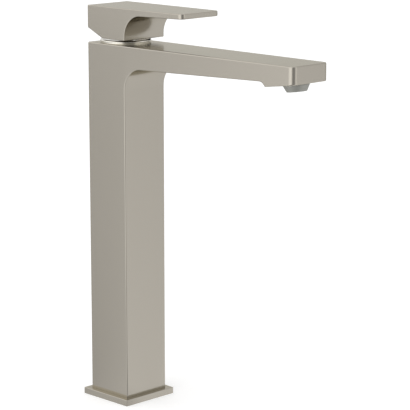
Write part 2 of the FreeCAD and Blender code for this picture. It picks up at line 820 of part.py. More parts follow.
# ================================================================ write every piece
def main():
    pieces = {
        "body_casting": body_casting(),
        "base_plate": base_plate(),
        "base_gasket": base_gasket(),
        "inlet_block": inlet_block(),
        "block_screws": block_screws(),
        "hot_riser": riser(-1),
        "cold_riser": riser(1),
        "riser_seals": riser_seals(),
        "cartridge_manifold": cartridge_manifold(),
        "port_seals": port_seals(),
        "disc_seals": disc_seals(),
        "fixed_disc": fixed_disc(),
        "moving_disc": moving_disc(),
        "disc_carrier": disc_carrier(),
        "cartridge_shell": cartridge_shell(),
        "shell_seal": shell_seal(),
        "turret": turret(),
        "stem_pin": stem_pin(),
        "stem": stem(),
        "cartridge_nut": cartridge_nut(),
        "limit_ring": limit_ring(),
        "trim_ring": trim_ring(),
        "trim_seal": trim_seal(),
        "handle": handle(),
        "set_screw": set_screw(),
        "screw_cap": screw_cap(),
        "aerator_housing": aerator_housing(),
        "aerator_washer": aerator_washer(),
        "flow_regulator": flow_regulator(),
        "aerator_core": aerator_core(),
        "aerator_screen": aerator_screen(),
    }
    os.makedirs("parts", exist_ok=True)
    for name, made in pieces.items():
        shape = Part.makeCompound(made) if isinstance(made, list) else made
        solids = shape.Solids
        shape = solids[0] if len(solids) == 1 else Part.makeCompound(solids)
        shape.exportStep(f"parts/{name}.step")
        print(name, len(solids), "solids, volume", round(shape.Volume, 1), "valid", shape.isValid())


main()
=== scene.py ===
"""Looks of a tall lever-operated basin mixer in satin nickel, built round its packed construction model.

The visible shells are remodelled here with fine rounded edges: the hollow body with its spout, the deck
plate, the lever, the trim ring and the aerator nozzle. Everything that the construction model already shows
well keeps its mesh and gets a finish. All lengths are in metres, with the deck at z = 0 and the spout
towards -Y.
"""

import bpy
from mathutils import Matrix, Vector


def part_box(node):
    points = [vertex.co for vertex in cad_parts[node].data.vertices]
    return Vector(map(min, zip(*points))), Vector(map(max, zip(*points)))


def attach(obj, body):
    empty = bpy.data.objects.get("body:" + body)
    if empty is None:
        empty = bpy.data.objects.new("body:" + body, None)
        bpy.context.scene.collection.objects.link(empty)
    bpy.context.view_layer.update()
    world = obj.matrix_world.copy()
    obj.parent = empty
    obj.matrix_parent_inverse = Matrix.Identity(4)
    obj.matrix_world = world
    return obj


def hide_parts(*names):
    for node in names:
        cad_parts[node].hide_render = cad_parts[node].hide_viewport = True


bl_info = {
    "name": "Basin Mixer Looks",
    "version": (1, 0, 0),
    "blender": (4, 5, 0),
    "location": "3D View > Sidebar > Mixer",
    "description": "Builds the visible pieces, finishes and studio of a tall basin mixer",
    "category": "Object",
}

import math

import bmesh
import bpy
from bpy.props import FloatProperty, FloatVectorProperty, PointerProperty
from bpy.types import Operator, Panel, PropertyGroup
from mathutils import Matrix, Vector

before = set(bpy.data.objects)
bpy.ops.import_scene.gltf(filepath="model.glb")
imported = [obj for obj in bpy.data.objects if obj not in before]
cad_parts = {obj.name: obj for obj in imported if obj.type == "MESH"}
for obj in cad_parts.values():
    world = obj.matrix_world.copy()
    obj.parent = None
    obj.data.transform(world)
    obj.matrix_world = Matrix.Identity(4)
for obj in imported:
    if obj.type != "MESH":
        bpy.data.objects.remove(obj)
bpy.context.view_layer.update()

MM = 0.001
# Below TINY two places count as one, and FIT is the play round what fits in a hole.
TINY = 0.01 * MM
FIT = 0.05 * MM

# Bodies of the mechanism.
FIXED = "mixer_body"
LEVER = "lever"

# Places that come from the construction model.
body_low, body_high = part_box("body_casting")
plate_low, plate_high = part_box("base_plate")
gasket_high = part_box("base_gasket")[1]
handle_low, handle_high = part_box("handle")
ring_low, ring_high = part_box("trim_ring")
stem_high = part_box("stem")[1]
hot_low, hot_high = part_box("hot_riser")
screws_low, screws_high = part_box("block_screws")
cap_low, cap_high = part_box("screw_cap")
set_screw_low, set_screw_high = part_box("set_screw")

HALF = body_high.x
SPOUT_REACH = -body_low.y
LEVER_REACH = -handle_low.y


# ================================================================ sizes and colours
def length(name, description, millimetres):
    kind = {"subtype": "DISTANCE", "unit": "LENGTH"}
    return FloatProperty(name=name, description=description, default=millimetres * MM, min=0.0, **kind)


def angle(name, description, degrees):
    kind = {"subtype": "ANGLE", "unit": "ROTATION"}
    return FloatProperty(name=name, description=description, default=math.radians(degrees), **kind)


def factor(name, description, value, high=1.0):
    kind = {"min": 0.0, "max": high, "subtype": "FACTOR"}
    return FloatProperty(name=name, description=description, default=value, **kind)


def colour(name, description, rgb):
    kind = {"size": 4, "min": 0.0, "max": 1.0, "subtype": "COLOR"}
    return FloatVectorProperty(name=name, description=description, default=(*rgb, 1.0), **kind)


class MixerBodySizes(PropertyGroup):
    """Shape of the column and the spout."""

    tip_width: length("Tip width", "Width of the spout at its tip", 38.0)
    tip_corner: length("Tip corner", "Radius of the tip's upright corners", 4.6)
    root_depth: length("Root depth", "Height of the spout where it leaves the column", 17.7)
    rise: angle("Rise", "How steeply the spout's underside climbs towards its tip", 1.75)
    throat: length("Throat", "Radius of the concave corner under the spout", 17.0)
    edge: length("Edge", "Radius of the body's edges", 0.9)
    nose_length: length("Nose length", "Length of the thicker block at the tip", 27.4)
    nose_depth: length("Nose depth", "Height of the tip's front face", 13.3)
    nose_tilt: angle("Nose tilt", "Tilt of the nose's lower face", 7.4)
    step_run: length("Step run", "Horizontal run of the step behind the nose", 2.9)
    step_round: length("Step round", "Radius of the concave corner of the step", 5.8)
    column_wall: length("Column wall", "Thickness of the column's wall", 2.6)
    inner_corner: length("Inner corner", "Radius of the corners inside the column", 3.0)
    spout_wall: length("Spout wall", "Thickness of the spout's wall", 2.4)
    nose_roof: length("Nose roof", "Metal above the nose's lower face", 6.0)
    chamber_radius: length("Chamber", "Radius of the cartridge's chamber", 18.5)
    chamber_depth: length("Chamber depth", "Depth of the cartridge's chamber", 31.02)
    seat_thickness: length("Seat", "Thickness of the floor under the cartridge", 10.0)
    window_height: length("Window", "Height of the opening from the chamber into the spout", 5.6)


class MixerPlateSizes(PropertyGroup):
    """Shape of the deck plate."""

    edge: length("Edge", "Radius of the plate's upper edges and corners", 0.5)
    recess: length("Recess", "How deep the column stands in the plate", 1.0)
    clearance: length("Clearance", "Gap round the column in its recess", 0.15)
    bore_radius: length("Bore", "Radius of the hole for the inlets", 17.0)
    groove_width: length("Groove", "Width of the groove for the gasket", 3.3)


class MixerLeverSizes(PropertyGroup):
    """Shape of the lever handle."""

    tip_width: length("Tip width", "Width of the lever at its tip", 40.0)
    tip_corner: length("Tip corner", "Radius of the tip's upright corners", 4.0)
    tip_thickness: length("Tip thickness", "Thickness of the lever at its tip", 4.0)
    root_thickness: length("Root thickness", "Thickness of the lever at its root", 5.4)
    throat: length("Throat", "Radius of the concave corner under the lever", 17.0)
    edge: length("Edge", "Radius of the handle's edges", 0.6)
    heel_rise: length("Heel rise", "Height of the sloping part of the handle's back", 7.4)
    heel_slope: angle("Heel slope", "Slope of the handle's back", 23.9)
    wall: length("Wall", "Thickness of the handle's walls", 1.7)
    hub_radius: length("Hub", "Radius of the hub that grips the stem", 9.0)
    hub_clearance: length("Hub clearance", "Height of the hub's foot above the stem's turret", 6.7)
    roof_gap: length("Roof gap", "Metal between the stem's top and the handle's hollow", 1.5)
    boss_radius: length("Boss", "Radius of the boss round the set screw", 4.5)


class MixerRingSizes(PropertyGroup):
    """Shape of the trim ring."""

    rise: length("Rise", "How far the ring stands out above the construction model's ring", 0.8)
    top_round: length("Top round", "Radius of the ring's upper edge", 1.3)
    foot_round: length("Foot round", "Radius of the ring's lower edge", 0.3)
    gap_height: length("Gap height", "Height of the shadow gap between body and ring", 1.1)
    gap_depth: length("Gap depth", "Depth of the shadow gap", 0.9)
    skirt_inset: length("Skirt inset", "How far the skirt stands in from the ring's outside", 1.8)
    neck: length("Neck", "Radius inside the skirt", 15.55)
    mouth: length("Mouth", "Radius of the opening round the turret", 14.2)
    lip: length("Lip", "Thickness of the lip round the opening", 1.0)


class MixerNozzleSizes(PropertyGroup):
    """Shape of the aerator."""

    setback: length("Setback", "Spout tip to the nozzle's centre", 14.2)
    thread_radius: length("Thread", "Radius of the threaded part", 8.4)
    thread_length: length("Thread length", "Length of the threaded part", 3.9)
    skirt_radius: length("Skirt", "Radius of the nozzle under the spout", 9.7)
    mouth_radius: length("Mouth", "Radius of the nozzle's lower end", 7.4)
    mouth_round: length("Mouth round", "Radius of the lower end's edges", 0.5)
    lip_height: length("Lip", "Height of the nozzle's upright rim", 0.9)
    drop: length("Drop", "How far the nozzle stands out of the spout", 5.5)
    bore_radius: length("Bore", "Radius inside the nozzle", 6.45)
    outlet_radius: length("Outlet", "Radius of the outlet", 5.6)
    outlet_lip: length("Outlet lip", "Thickness of the rim that holds the screen", 0.9)
    screen_thickness: length("Screen thickness", "Thickness of the perforated screen", 0.8)
    hole_radius: length("Hole", "Radius of the screen's holes", 0.62)
    hole_pitch: length("Hole pitch", "Distance between the screen's holes", 1.6)


class MixerFinishes(PropertyGroup):
    """Colours of the finishes."""

    nickel: colour("Satin nickel", "Brushed nickel of the body, plate and lever", (0.48, 0.448, 0.39))
    nozzle: colour("Nozzle nickel", "Greyer nickel of the nozzle", (0.43, 0.43, 0.40))
    polished: colour("Polished nickel", "Bright nickel of the trim ring", (0.80, 0.77, 0.70))
    brass: colour("Brass", "Machined brass", (0.56, 0.40, 0.16))
    copper: colour("Copper", "Drawn copper tube", (0.60, 0.25, 0.14))
    steel: colour("Steel", "Stainless steel", (0.50, 0.50, 0.51))
    rubber: colour("Rubber", "Black rubber of the seals", (0.018, 0.018, 0.019))
    white: colour("White plastic", "Moulded cartridge parts", (0.74, 0.74, 0.71))
    red: colour("Red plastic", "Temperature limiter", (0.48, 0.035, 0.025))
    grey: colour("Grey plastic", "Aerator insert", (0.26, 0.27, 0.28))
    ceramic: colour("Ceramic", "Alumina discs", (0.80, 0.78, 0.72))


class MixerStudio(PropertyGroup):
    """Camera and light."""

    camera_turn: angle("Camera turn", "Camera's direction round the object, from the front", -44.872)
    camera_tilt: angle("Camera tilt", "Camera's height above the horizon", 11.772)
    camera_distance: length("Camera distance", "Camera to the point that it looks at", 1496.6)
    camera_lens: FloatProperty(
        name="Lens",
        description="Focal length on a 36 mm sensor",
        default=165.68,
        min=1.0,
        subtype="DISTANCE_CAMERA",
    )
    aim: FloatVectorProperty(
        name="Aim",
        description="Point that the camera looks at",
        default=(0.0437, -0.0435, 0.1554),
        subtype="XYZ",
        unit="LENGTH",
    )
    floor_radius: length("Floor", "Radius of the floor", 6000.0)
    floor_albedo: factor("Floor colour", "How pale the floor is", 0.80)
    floor_glow: factor("Floor glow", "Light that the floor adds for the camera alone", 0.40)
    # The near and foot reaches shape the floor's painted light and shade in reflections.
    near_reach: length("Near reach", "How far the near floor reaches from the foot", 450.0)
    foot_reach: length("Foot reach", "How far the floor right at the foot reaches", 50.0)
    ceiling_level: factor("Ceiling", "Level of the light from above", 1.0, high=3.0)
    ceiling_start: angle("Ceiling start", "Height above the horizon where the ceiling's light begins", 40.0)
    ceiling_full: angle("Ceiling full", "Height above the horizon from which it is full", 70.0)


# ================================================================ outlines and meshes
def rounded(corners, step=math.radians(6)):
    """Closed outline through corners (u, v, radius), each rounded corner as short chords."""
    points = []
    for i, (u, v, radius) in enumerate(corners):
        corner = Vector((u, v))
        if radius == 0:
            points.append(corner)
            continue
        before = (Vector(corners[i - 1][:2]) - corner).normalized()
        after = (Vector(corners[(i + 1) % len(corners)][:2]) - corner).normalized()
        half_angle = before.angle(after) / 2
        centre = corner + (before + after).normalized() * (radius / math.sin(half_angle))
        start = corner + before * (radius / math.tan(half_angle)) - centre
        end = corner + after * (radius / math.tan(half_angle)) - centre
        turn = start.angle_signed(end)
        count = max(2, math.ceil(abs(turn) / step))
        for k in range(count + 1):
            points.append(centre + Matrix.Rotation(-turn * k / count, 2) @ start)
    return [(p.x, p.y) for p in points]


def new_piece(name, bm):
    """Object at the origin from a finished bmesh, with its faces pointing outwards."""
    bmesh.ops.recalc_face_normals(bm, faces=bm.faces)
    mesh = bpy.data.meshes.new(name)
    bm.to_mesh(mesh)
    bm.free()
    piece = bpy.data.objects.new(name, mesh)
    bpy.context.scene.collection.objects.link(piece)
    return piece


def arm_block(name, side, tip_half, reach, tip_corner):
    """Block with the side outline (y, z), as wide as the column at the root and narrower at the arm's tip."""

    def half_width(y):
        along = min(1.0, max(0.0, (-HALF - y) / (reach - HALF)))
        return HALF + (tip_half - HALF) * along

    bm = bmesh.new()
    left = [bm.verts.new((-half_width(y), y, z)) for y, z in side]
    right = [bm.verts.new((half_width(y), y, z)) for y, z in side]
    count = len(side)
    for i in range(count):
        j = (i + 1) % count
        bm.faces.new((left[i], left[j], right[j], right[i]))
    # The side faces bend where the arm leaves the column, between the two highest points there.
    bend = [i for i, (y, z) in enumerate(side) if abs(y + HALF) < TINY]
    first, second = sorted(sorted(bend, key=lambda i: -side[i][1])[:2])
    for ring in (left, right):
        bm.faces.new(ring[first : second + 1])
        bm.faces.new(ring[second:] + ring[: first + 1])
    uprights = [
        edge
        for edge in bm.edges
        if all(abs(v.co.y + reach) < TINY for v in edge.verts)
        and abs(edge.verts[0].co.x - edge.verts[1].co.x) < TINY
    ]
    bmesh.ops.bevel(bm, geom=uprights, offset=tip_corner, segments=12, profile=0.5, affect="EDGES")
    return new_piece(name, bm)


def prism(name, outline, low, high, axis="Z"):
    """Straight block over a closed outline: (x, y) along Z, or (y, z) along X."""
    bm = bmesh.new()
    place = {"Z": lambda u, v, w: (u, v, w), "X": lambda u, v, w: (w, u, v)}[axis]
    lower = [bm.verts.new(place(u, v, low)) for u, v in outline]
    upper = [bm.verts.new(place(u, v, high)) for u, v in outline]
    count = len(outline)
    for i in range(count):
        j = (i + 1) % count
        bm.faces.new((lower[i], lower[j], upper[j], upper[i]))
    bm.faces.new(lower)
    bm.faces.new(upper)
    return new_piece(name, bm)


def square(half_side, corner=0.0):
    signs = ((1, 1), (-1, 1), (-1, -1), (1, -1))
    return rounded([(across * half_side, along * half_side, corner) for across, along in signs])


def rectangle(x0, x1, y0, y1):
    return [(x0, y0), (x1, y0), (x1, y1), (x0, y1)]


def lathe(name, profile, steps=96):
    """Closed (radius, z) outline turned about Z; a point on the axis closes to a pole."""
    bm = bmesh.new()
    rings = []
    for radius, z in profile:
        if radius < TINY:
            rings.append([bm.verts.new((0, 0, z))] * steps)
            continue
        angles = [2 * math.pi * k / steps for k in range(steps)]
        rings.append([bm.verts.new((radius * math.cos(a), radius * math.sin(a), z)) for a in angles])
    for i, ring in enumerate(rings):
        following = rings[(i + 1) % len(rings)]
        for k in range(steps):
            j = (k + 1) % steps
            corners = list(dict.fromkeys((ring[k], ring[j], following[j], following[k])))
            if len(corners) > 2:
                bm.faces.new(corners)
    return new_piece(name, bm)


def rod(name, radius, low, high, x=0.0, y=0.0, steps=96):
    """Plain round bar along Z, used to cut and to join."""
    piece = lathe(name, [(0, low), (radius, low), (radius, high), (0, high)], steps)
    piece.data.transform(Matrix.Translation((x, y, 0)))
    return piece


def along_y(piece, z):
    """Turns a piece drawn on +Z so that it lies along +Y at height z."""
    piece.data.transform(Matrix.Translation((0, 0, z)) @ Matrix.Rotation(-math.pi / 2, 4, "X"))
    return piece


def settle(piece):
    """Turns a piece's modifiers into plain mesh."""
    graph = bpy.context.evaluated_depsgraph_get()
    mesh = bpy.data.meshes.new_from_object(piece.evaluated_get(graph), depsgraph=graph)
    piece.modifiers.clear()
    piece.data = mesh
    return piece


def round_edges(piece, radius, lowest):
    """Rounds every sharp edge above lowest to one radius, whatever the angle between its faces."""
    sharp = math.radians(20)
    mesh = piece.data
    bm = bmesh.new()
    bm.from_mesh(mesh)
    weights = [0.0] * len(bm.edges)
    for i, edge in enumerate(bm.edges):
        turn = edge.calc_face_angle(0.0)
        if turn > sharp and max(v.co.z for v in edge.verts) > lowest + TINY:
            weights[i] = min(1.0, math.tan(turn / 2))
    bm.free()
    attribute = mesh.attributes.new("bevel_weight_edge", "FLOAT", "EDGE")
    attribute.data.foreach_set("value", weights)
    bevel = piece.modifiers.new("Edges", "BEVEL")
    bevel.limit_method = "WEIGHT"
    bevel.width = radius
    bevel.segments = 5
    bevel.use_clamp_overlap = False
    return settle(piece)


def combine(piece, others, operation):
    """Cuts other closed meshes out of a piece, or joins them to it, and removes them."""
    for other in others:
        modifier = piece.modifiers.new(other.name, "BOOLEAN")
        modifier.operation = operation
        modifier.solver = "EXACT"
        modifier.object = other
    settle(piece)
    for other in others:
        bpy.data.objects.remove(other)
    return piece


def smooth(piece, sharp_degrees=35):
    """Smooth shading on curves, with flat faces kept flat."""
    piece.data.shade_smooth()
    piece.data.set_sharp_from_angle(angle=math.radians(sharp_degrees))
    weighted = piece.modifiers.new("Flat faces", "WEIGHTED_NORMAL")
    weighted.keep_sharp = True
    weighted.weight = 100
    return settle(piece)


def finish_piece(piece, body, node, material):
    """Gives a piece its finish and its moving body, and hides the node that it stands for."""
    piece.data.materials.clear()
    piece.data.materials.append(material)
    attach(piece, body)
    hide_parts(node)
    return piece


# ================================================================ nodes
FLOAT = "NodeSocketFloat"
GEOMETRY = "NodeSocketGeometry"


def place_node(tree, kind, inputs=(), **settings):
    """New node with its settings, whose inputs, by name or number, are sockets to link or plain values."""
    node = tree.nodes.new(kind)
    for name, value in settings.items():
        setattr(node, name, value)
    for key, value in dict(inputs).items():
        if isinstance(value, bpy.types.NodeSocket):
            tree.links.new(value, node.inputs[key])
        else:
            node.inputs[key].default_value = value
    return node


def math_node(tree, operation, *operands):
    """Math node on sockets or numbers; returns its output."""
    return place_node(tree, "ShaderNodeMath", enumerate(operands), operation=operation).outputs[0]


def blend(tree, factor, first, second):
    """Mixes two levels, each a socket or a number, by a factor socket."""
    return place_node(tree, "ShaderNodeMix", {"Factor": factor, "A": first, "B": second}).outputs["Result"]


def noise_node(tree, vector, detail, dimensions="3D"):
    values = {"Vector": vector, "Scale": 1.0, "Detail": detail}
    return place_node(tree, "ShaderNodeTexNoise", values, noise_dimensions=dimensions).outputs["Fac"]


def separated(tree, vector):
    return place_node(tree, "ShaderNodeSeparateXYZ", {0: vector})


def combined(tree, *parts):
    return place_node(tree, "ShaderNodeCombineXYZ", enumerate(parts)).outputs[0]


def distance_from_axis(tree, split):
    """Distance from the Z axis, from a separated position."""
    squares = [math_node(tree, "MULTIPLY", split.outputs[axis], split.outputs[axis]) for axis in (0, 1)]
    return math_node(tree, "SQRT", math_node(tree, "ADD", *squares))


def node_group(kind, name, inputs, outputs):
    """Empty group with inputs (name, type, default) and outputs (name, type), and its two end nodes."""
    group = bpy.data.node_groups.new(name, kind)
    for label, socket_type, default in inputs:
        socket = group.interface.new_socket(name=label, in_out="INPUT", socket_type=socket_type)
        if default is not None:
            socket.default_value = default
    for label, socket_type in outputs:
        group.interface.new_socket(name=label, in_out="OUTPUT", socket_type=socket_type)
    return group, group.nodes.new("NodeGroupInput"), group.nodes.new("NodeGroupOutput")


# ================================================================ shared effects
def effect_group(name, output, **values):
    """Empty shader group that takes a position and named values, and puts out one level."""
    inputs = [("Position", "NodeSocketVector", None)]
    inputs += [(label.replace("_", " "), FLOAT, value) for label, value in values.items()]
    return node_group("ShaderNodeTree", name, inputs, [(output, FLOAT)])


def brushed_grain_group():
    """Fine straight scratches along Z, turning to Y where the spout leaves the column."""
    values = {"Across": 900.0, "Along": 25.0, "Turn_at_Y": 0.0, "Turn_width": 0.01}
    group, given, result = effect_group("Brushed Grain", "Shade", **values)
    split = separated(group, given.outputs["Position"])
    shades = []
    for scales in (("Across", "Across", "Along"), ("Across", "Along", "Across")):
        pairs = zip(split.outputs, scales)
        stretched = [math_node(group, "MULTIPLY", part, given.outputs[scale]) for part, scale in pairs]
        shades.append(noise_node(group, combined(group, *stretched), 3.0))
    towards_tip = math_node(group, "SUBTRACT", given.outputs["Turn at Y"], split.outputs["Y"])
    share = math_node(group, "DIVIDE", towards_tip, given.outputs["Turn width"])
    turned = place_node(group, "ShaderNodeClamp", {"Value": share}).outputs[0]
    group.links.new(blend(group, turned, *shades), result.inputs["Shade"])
    return group


def turned_marks_group():
    """Fine rings left by a lathe, about the Z axis of the position given."""
    group, given, result = effect_group("Turned Marks", "Shade", Rings=4000.0)
    split = separated(group, given.outputs["Position"])
    places = (distance_from_axis(group, split), split.outputs["Z"])
    stretched = [math_node(group, "MULTIPLY", place, given.outputs["Rings"]) for place in places]
    group.links.new(noise_node(group, combined(group, *stretched), 2.0, "2D"), result.inputs["Shade"])
    return group


def handling_haze_group():
    """Broad faint patches, as a wiped surface has, about zero."""
    group, given, result = effect_group("Handling Haze", "Haze", Patches=30.0, Amount=0.1)
    position, patches, amount = given.outputs[:3]
    values = {"Vector": position, "Scale": patches, "Detail": 4.0, "Roughness": 0.6}
    noise = place_node(group, "ShaderNodeTexNoise", values)
    centred = math_node(group, "SUBTRACT", noise.outputs["Fac"], 0.5)
    group.links.new(math_node(group, "MULTIPLY", centred, amount), result.inputs["Haze"])
    return group


def moulded_skin_group():
    """Slightly pebbled skin of moulded plastic and rubber."""
    group, given, result = effect_group("Moulded Skin", "Shade", Pebbles=2500.0)
    values = {"Vector": given.outputs["Position"], "Scale": given.outputs["Pebbles"]}
    cells = place_node(group, "ShaderNodeTexVoronoi", values, feature="SMOOTH_F1")
    group.links.new(cells.outputs["Distance"], result.inputs["Shade"])
    return group


GROUP_MAKERS = {
    "Brushed Grain": brushed_grain_group,
    "Turned Marks": turned_marks_group,
    "Handling Haze": handling_haze_group,
    "Moulded Skin": moulded_skin_group,
}


def place_group(tree, name, position, **values):
    """Puts a shared effect in a material, with its own values, and makes it the first time."""
    group = bpy.data.node_groups.get(name) or GROUP_MAKERS[name]()
    inputs = {label.replace("_", " "): value for label, value in values.items()}
    return place_node(tree, "ShaderNodeGroup", {"Position": position, **inputs}, node_tree=group).outputs[0]


# ================================================================ materials
class Finish:
    """A material with its shader, and the steps that every finish shares."""

    def __init__(self, name, rgba, metallic, roughness):
        self.material = bpy.data.materials.new(name)
        self.material.use_nodes = True
        self.tree = self.material.node_tree
        self.shader = self.tree.nodes["Principled BSDF"]
        self.shader.inputs["Metallic"].default_value = metallic
        self.rgba = tuple(rgba)
        self.roughness = roughness
        coordinates = self.tree.nodes.new("ShaderNodeTexCoord")
        self.position = coordinates.outputs["Object"]

    def moved(self, matrix):
        """Position in the frame of a piece that stands elsewhere or leans."""
        inverse = matrix.inverted()
        values = {
            "Vector": self.position,
            "Location": inverse.to_translation(),
            "Rotation": inverse.to_euler(),
        }
        return place_node(self.tree, "ShaderNodeMapping", values).outputs[0]

    def tint(self, shade, depth):
        """Darkens and lightens the colour by up to depth either way."""
        mix = place_node(self.tree, "ShaderNodeMix", {"Factor": shade}, data_type="RGBA")
        colours = [socket for socket in mix.inputs if socket.type == "RGBA"]
        for socket, gain in zip(colours, (1 - depth, 1 + depth)):
            socket.default_value = (*[min(1.0, c * gain) for c in self.rgba[:3]], 1.0)
        result = next(socket for socket in mix.outputs if socket.type == "RGBA")
        self.tree.links.new(result, self.shader.inputs["Base Color"])

    def rough(self, shade, depth, haze):
        """Roughness about its own level, from the fine shade and the broad haze."""
        centred = math_node(self.tree, "MULTIPLY", math_node(self.tree, "SUBTRACT", shade, 0.5), 2 * depth)
        level = math_node(self.tree, "ADD", math_node(self.tree, "ADD", centred, self.roughness), haze)
        self.tree.links.new(level, self.shader.inputs["Roughness"])

    def bump(self, shade, distance, strength):
        values = {"Height": shade, "Distance": distance, "Strength": strength}
        normal = place_node(self.tree, "ShaderNodeBump", values).outputs["Normal"]
        self.tree.links.new(normal, self.shader.inputs["Normal"])


def brushed_metal(name, rgba, turn_y, turn_width=10 * MM):
    """Brushed metal whose scratches run upwards, and lengthways on the spout's side of turn_y."""
    finish = Finish(name, rgba, 1.0, 0.21)
    values = {"Across": 5200.0, "Along": 110.0, "Turn_at_Y": turn_y, "Turn_width": turn_width}
    shade = place_group(finish.tree, "Brushed Grain", finish.position, **values)
    haze = place_group(finish.tree, "Handling Haze", finish.position, Patches=14.0, Amount=0.03)
    finish.tint(shade, 0.025)
    finish.rough(shade, 0.05, haze)
    finish.bump(shade, 0.004 * MM, 0.06)
    finish.shader.inputs["Specular Tint"].default_value = (0.80, 0.78, 0.71, 1.0)
    return finish.material


def turned_metal(name, rgba, roughness, rings=4000.0, depth=0.06, place=None):
    finish = Finish(name, rgba, 1.0, roughness)
    position = finish.position if place is None else finish.moved(place)
    shade = place_group(finish.tree, "Turned Marks", position, Rings=rings)
    haze = place_group(finish.tree, "Handling Haze", finish.position, Patches=60.0, Amount=0.05)
    finish.tint(shade, depth)
    finish.rough(shade, depth, haze)
    finish.bump(shade, 0.02 * MM, 0.10)
    return finish.material


def moulded(name, rgba, roughness, pebbles=2500.0, strength=0.15):
    finish = Finish(name, rgba, 0.0, roughness)
    shade = place_group(finish.tree, "Moulded Skin", finish.position, Pebbles=pebbles)
    haze = place_group(finish.tree, "Handling Haze", finish.position, Patches=90.0, Amount=0.12)
    finish.tint(shade, 0.04)
    finish.rough(shade, 0.05, haze)
    finish.bump(shade, 0.03 * MM, strength)
    return finish.material


MATERIALS = {}


def material(key):
    """The material of one of the record's slots, made the first time it is asked for."""
    if key in MATERIALS:
        return MATERIALS[key]
    tone = bpy.context.scene.mixer_finishes
    makers = {
        "brushed_nickel": lambda: brushed_metal("satin nickel, brushed upwards", tone.nickel, -HALF, 6 * MM),
        "lever_nickel": lambda: brushed_metal("satin nickel, brushed lengthways", tone.nickel, 2 * HALF),
        "nozzle_nickel": lambda: turned_metal("satin nickel, turned", tone.nozzle, 0.62, place=nose_place()),
        "polished_nickel": lambda: turned_metal("polished nickel", tone.polished, 0.18, depth=0.02),
        "brass": lambda: turned_metal("machined brass", tone.brass, 0.32, rings=2500.0, depth=0.08),
        "copper": lambda: turned_metal("drawn copper", tone.copper, 0.38, rings=1200.0, depth=0.12),
        "steel": lambda: turned_metal("stainless steel", tone.steel, 0.28),
        "black_rubber": lambda: moulded("black rubber", tone.rubber, 0.62, strength=0.3),
        "white_plastic": lambda: moulded("white moulded plastic", tone.white, 0.42),
        "red_plastic": lambda: moulded("red moulded plastic", tone.red, 0.40),
        "grey_plastic": lambda: moulded("grey moulded plastic", tone.grey, 0.42),
        "ceramic": lambda: moulded("lapped ceramic", tone.ceramic, 0.16, pebbles=9000.0, strength=0.03),
    }
    MATERIALS[key] = makers[key]()
    return MATERIALS[key]


# ================================================================ body
def underside(y):
    """Height of the spout's underside between the throat and the nose."""
    sizes = bpy.context.scene.mixer_body
    return body_high.z - sizes.root_depth - math.tan(sizes.rise) * (y + HALF)


def nose_place():
    """Where the nozzle is screwed in: on the nose's lower face, with +Z into the spout."""
    setback = bpy.context.scene.mixer_nozzle.setback
    sizes = bpy.context.scene.mixer_body
    z = body_high.z - sizes.nose_depth - math.tan(sizes.nose_tilt) * setback
    place = Matrix.Translation((0, setback - SPOUT_REACH, z))
    return place @ Matrix.Rotation(-sizes.nose_tilt, 4, "X")


def body_outside(sizes):
    nose_back_y = sizes.nose_length - SPOUT_REACH
    nose_tip_z = body_high.z - sizes.nose_depth
    nose_back_z = nose_tip_z - math.tan(sizes.nose_tilt) * sizes.nose_length
    step_y = nose_back_y + sizes.step_run
    side = rounded(
        [
            (HALF, body_low.z, 0),
            (HALF, body_high.z, 0),
            (-HALF, body_high.z, 0),
            (-SPOUT_REACH, body_high.z, 0),
            (-SPOUT_REACH, nose_tip_z, 0),
            (nose_back_y, nose_back_z, 0),
            (step_y, underside(step_y), sizes.step_round),
            (-HALF, underside(-HALF), sizes.throat),
            (-HALF, body_low.z, 0),
        ]
    )
    outside = arm_block("body_shell", side, sizes.tip_width / 2, SPOUT_REACH, sizes.tip_corner)
    return round_edges(outside, sizes.edge, body_low.z)


def spout_channel(sizes):
    """Waterway inside the spout, one wall in from its faces."""
    wall = sizes.spout_wall
    top = body_high.z - wall
    root_y = -HALF - wall
    front_y = wall - SPOUT_REACH
    nose_back_y = sizes.nose_length - SPOUT_REACH
    floor_z = body_high.z - sizes.nose_depth + sizes.nose_roof
    floor_back_z = floor_z - math.tan(sizes.nose_tilt) * (sizes.nose_length - wall)
    ramp_y = nose_back_y + 2 * sizes.step_run
    side = [
        (root_y, top),
        (front_y, top),
        (front_y, floor_z),
        (nose_back_y, floor_back_z),
        (ramp_y, underside(ramp_y) + wall),
        (root_y, underside(root_y) + wall),
    ]
    half = sizes.tip_width / 2 - wall
    return prism("channel", side, -half, half, axis="X")


def body_hollows(sizes):
    """Everything that is open inside the body."""
    seat_z = body_high.z - sizes.chamber_depth
    floor_z = seat_z - sizes.seat_thickness
    inner = HALF - sizes.column_wall
    cavity = prism("cavity", square(inner, sizes.inner_corner), body_low.z - MM, floor_z)
    chamber = rod("chamber", sizes.chamber_radius, seat_z, body_high.z + MM)
    window_low = underside(-HALF) + sizes.spout_wall
    front = -HALF - 2 * sizes.spout_wall
    opening = rectangle(-HALF / 2, HALF / 2, front, -sizes.chamber_radius / 2)
    window = prism("window", opening, window_low, window_low + sizes.window_height)
    riser_x = (hot_low.x + hot_high.x) / 2
    riser_y = (hot_low.y + hot_high.y) / 2
    riser_radius = (hot_high.x - hot_low.x) / 2
    sides = (-riser_x, riser_x)
    ports = [rod("port", riser_radius, floor_z - MM, seat_z + MM, x, riser_y, 48) for x in sides]
    nozzle = bpy.context.scene.mixer_nozzle
    thread = rod("thread", nozzle.thread_radius + FIT, -3 * MM, nozzle.thread_length + MM)
    ledge = rod("ledge", nozzle.bore_radius, 0.0, sizes.nose_roof + sizes.spout_wall)
    for cutter in (thread, ledge):
        cutter.data.transform(nose_place())
    return [cavity, chamber, window, spout_channel(sizes), thread, ledge, *ports]


